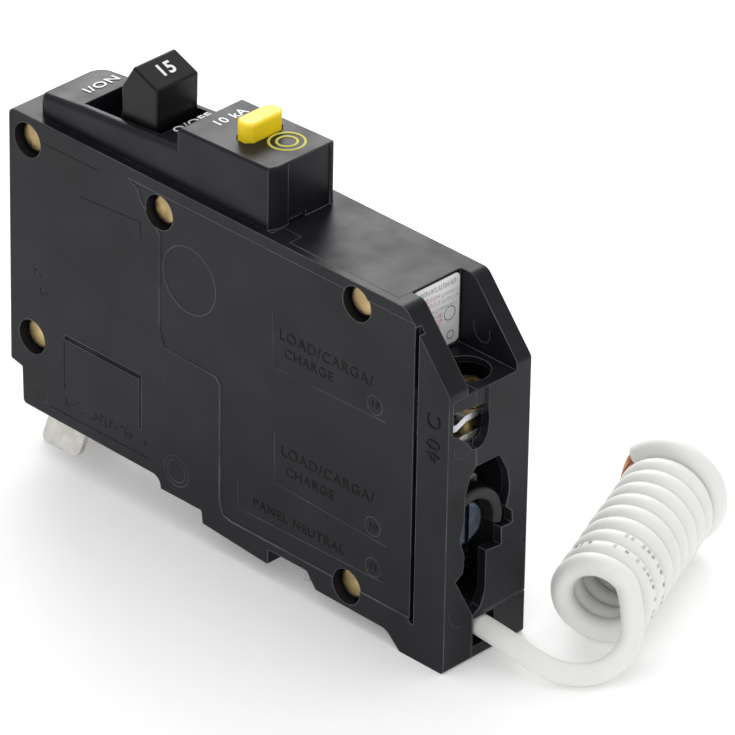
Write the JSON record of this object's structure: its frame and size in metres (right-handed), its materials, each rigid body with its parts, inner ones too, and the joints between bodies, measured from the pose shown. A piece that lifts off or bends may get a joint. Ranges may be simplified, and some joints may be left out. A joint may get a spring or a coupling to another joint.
{
  "type": "gfci breaker",
  "caption": "One-pole ground-fault circuit breaker with tilting toggle, yellow test button, screw terminals, plug-on jaw and a coiled white neutral pigtail.",
  "frame": {"origin": "centre of the casing's foot plane, without the pigtail", "axes": "+X from the line jaw to the load terminals, +Y across the pole from the side cover to the deep half, +Z from the mounting side to the handle"},
  "size_m": [0.1258, 0.0639, 0.0816],
  "materials": {
    "phenolic_black": "satin moulded phenolic, dark charcoal",
    "handle_black": "satin moulded plastic",
    "button_yellow": "satin moulded plastic",
    "brass_rivet": "rolled brass, lightly tarnished",
    "brass_screw": "machined brass",
    "steel_zinc": "zinc plated, bright",
    "steel_spring": "spring steel",
    "tinned_copper": "tin plated copper",
    "copper": "bare copper",
    "contact_silver": "silver alloy",
    "fibre": "vulcanised fibre",
    "bimetal": "rolled bimetal",
    "wire_black": "PVC insulation",
    "wire_white": "PVC insulation, satin",
    "board_green": "solder resist",
    "ferrite": "sintered ferrite",
    "enamel_wire": "enamelled copper wire",
    "bobbin_white": "moulded nylon",
    "chip_black": "epoxy",
    "can_sleeve": "shrink sleeve",
    "film_red": "dipped film capacitor",
    "varistor_blue": "epoxy coating",
    "resistor_tan": "coated resistor",
    "collar_black": "moulded insulator",
    "label_white": "printed film"
  },
  "bodies": {
    "case": {"arc_chute_cheeks": "fibre", "arc_plates": "steel_zinc", "bimetal": "bimetal", "braid": "copper", "calibration_screw": "brass_screw", "case_base": "phenolic_black", "circuit_board": "board_green", "control_chip": "chip_black", "electrolytic_capacitor": "can_sleeve", "film_capacitor": "film_red", "jaw_spring_clip": "steel_spring", "label": "label_white", "line_jaw": "tinned_copper", "magnet_yoke": "steel_zinc", "neutral_strap": "tinned_copper", "neutral_wire": "wire_white", "operating_spring": "steel_spring", "pigtail_coil": "wire_white", "pigtail_inner": "wire_white", "pigtail_lead": "wire_white", "pigtail_strands": "copper", "plunger_spring": "steel_spring", "power_strap": "tinned_copper", "power_wire": "wire_black", "rail_hook_spring": "steel_spring", "resistors": "resistor_tan", "rivets": "brass_rivet", "screw_collar": "collar_black", "side_cover": "phenolic_black", "solenoid_bobbin": "bobbin_white", "solenoid_frame": "steel_zinc", "solenoid_winding": "enamel_wire", "stationary_contact": "contact_silver", "stationary_strap": "tinned_copper", "test_button_spring": "steel_spring", "test_contact": "copper", "thyristor": "chip_black", "toroid_core": "ferrite", "toroid_winding": "enamel_wire", "varistor": "varistor_blue"},
    "handle": {"handle": "handle_black"},
    "contact_arm": {"contact_arm": "copper", "moving_contact": "contact_silver"},
    "trip_lever": {"trip_lever": "steel_zinc"},
    "armature": {"armature": "steel_zinc"},
    "plunger": {"plunger": "steel_zinc"},
    "test_button": {"test_button": "button_yellow"},
    "power_clamp": {"power_clamp_plate": "steel_zinc"},
    "power_screw": {"power_screw": "brass_screw"},
    "neutral_clamp": {"neutral_clamp_plate": "steel_zinc"},
    "neutral_screw": {"neutral_screw": "steel_zinc"}
  },
  "joints": [
    {"name": "handle_pivot", "type": "hinge", "parent": "case", "child": "handle", "pos_m": [-0.0274, -0.0009, 0.0605], "axis": [0, -1, 0], "range_deg": [0, 34]},
    {"name": "arm_pivot", "type": "hinge", "parent": "handle", "child": "contact_arm", "pos_m": [-0.0297, -0.0009, 0.05285], "axis": [0, -1, 0], "range_deg": [-54, 0]},
    {"name": "trip_lever_pivot", "type": "hinge", "parent": "case", "child": "trip_lever", "pos_m": [-0.012, 0.002, 0.047], "axis": [0, -1, 0], "range_deg": [0, 25]},
    {"name": "plunger_slide", "type": "slide", "parent": "case", "child": "plunger", "axis": [1, 0, 0], "range_m": [0, 0.0015], "stiffness_N_per_m": 200, "springref_m": -0.002, "deforming": ["plunger_spring"]},
    {"name": "armature_hinge", "type": "hinge", "parent": "case", "child": "armature", "pos_m": [-0.0028, -0.0009, 0.027], "axis": [0, 1, 0], "range_deg": [0, 2.8]},
    {"name": "test_button_slide", "type": "slide", "parent": "case", "child": "test_button", "axis": [0, 0, -1], "range_m": [0, 0.0015], "stiffness_N_per_m": 400, "springref_m": -0.0015, "deforming": ["test_button_spring"]},
    {"name": "power_clamp_slide", "type": "slide", "parent": "case", "child": "power_clamp", "axis": [0, 0, -1], "range_m": [-0.0012, 0.0012]},
    {"name": "power_screw_turn", "type": "hinge", "parent": "power_clamp", "child": "power_screw", "pos_m": [0.0453, 0.0006, 0.0463], "axis": [0, 0, -1], "range_deg": [-541, 541]},
    {"name": "neutral_clamp_slide", "type": "slide", "parent": "case", "child": "neutral_clamp", "axis": [-1, 0, 0], "range_m": [0, 0.0024]},
    {"name": "neutral_screw_turn", "type": "hinge", "parent": "neutral_clamp", "child": "neutral_screw", "pos_m": [0.0478, -0.0026, 0.0253], "axis": [-1, 0, 0], "range_deg": [0, 1081]}
  ],
  "couplings": [
    {"joint": "arm_pivot", "follows": "handle_pivot", "ratio": -1.588},
    {"joint": "armature_hinge", "follows": "plunger_slide", "rad_per_m": 32.5},
    {"joint": "power_screw_turn", "follows": "power_clamp_slide", "rad_per_m": 7854},
    {"joint": "neutral_screw_turn", "follows": "neutral_clamp_slide", "rad_per_m": 7854}
  ]
}
